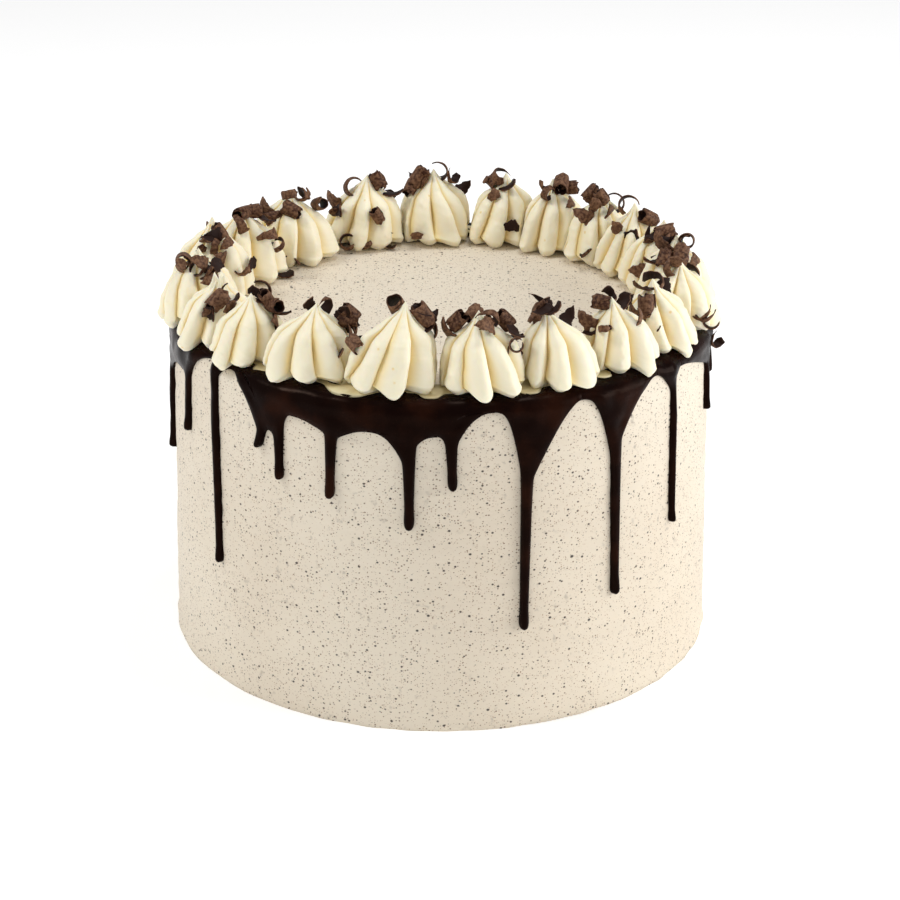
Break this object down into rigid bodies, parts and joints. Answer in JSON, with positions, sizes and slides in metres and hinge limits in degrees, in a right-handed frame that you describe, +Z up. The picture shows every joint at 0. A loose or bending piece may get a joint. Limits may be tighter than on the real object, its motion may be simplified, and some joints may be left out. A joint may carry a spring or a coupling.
{
  "type": "layer cake",
  "caption": "Tall round frosted cake with a chocolate drip over its rim, a ring of piped cream dollops and chocolate curls.",
  "frame": {"origin": "centre of the cake's flat underside", "axes": "+Z up, the pictured front faces -Y, +X to the right"},
  "size_m": [0.2154, 0.2129, 0.1619],
  "materials": {
    "speckled_cream": "matt speckled cream coat, off-white with fine dark crumbs",
    "chocolate_glaze": "half-gloss set dark chocolate",
    "piped_cream": "soft satin piped cream with matt dark chocolate curls"
  },
  "bodies": {
    "root": {"cake": "speckled_cream", "ganache": "chocolate_glaze", "dollop_01": "piped_cream", "dollop_02": "piped_cream", "dollop_03": "piped_cream", "dollop_04": "piped_cream", "dollop_05": "piped_cream", "dollop_06": "piped_cream", "dollop_07": "piped_cream", "dollop_08": "piped_cream", "dollop_09": "piped_cream", "dollop_10": "piped_cream", "dollop_11": "piped_cream", "dollop_12": "piped_cream", "dollop_13": "piped_cream", "dollop_14": "piped_cream", "dollop_15": "piped_cream", "dollop_16": "piped_cream", "dollop_17": "piped_cream", "dollop_18": "piped_cream", "dollop_19": "piped_cream", "dollop_20": "piped_cream", "dollop_21": "piped_cream"}
  },
  "joints": []
}
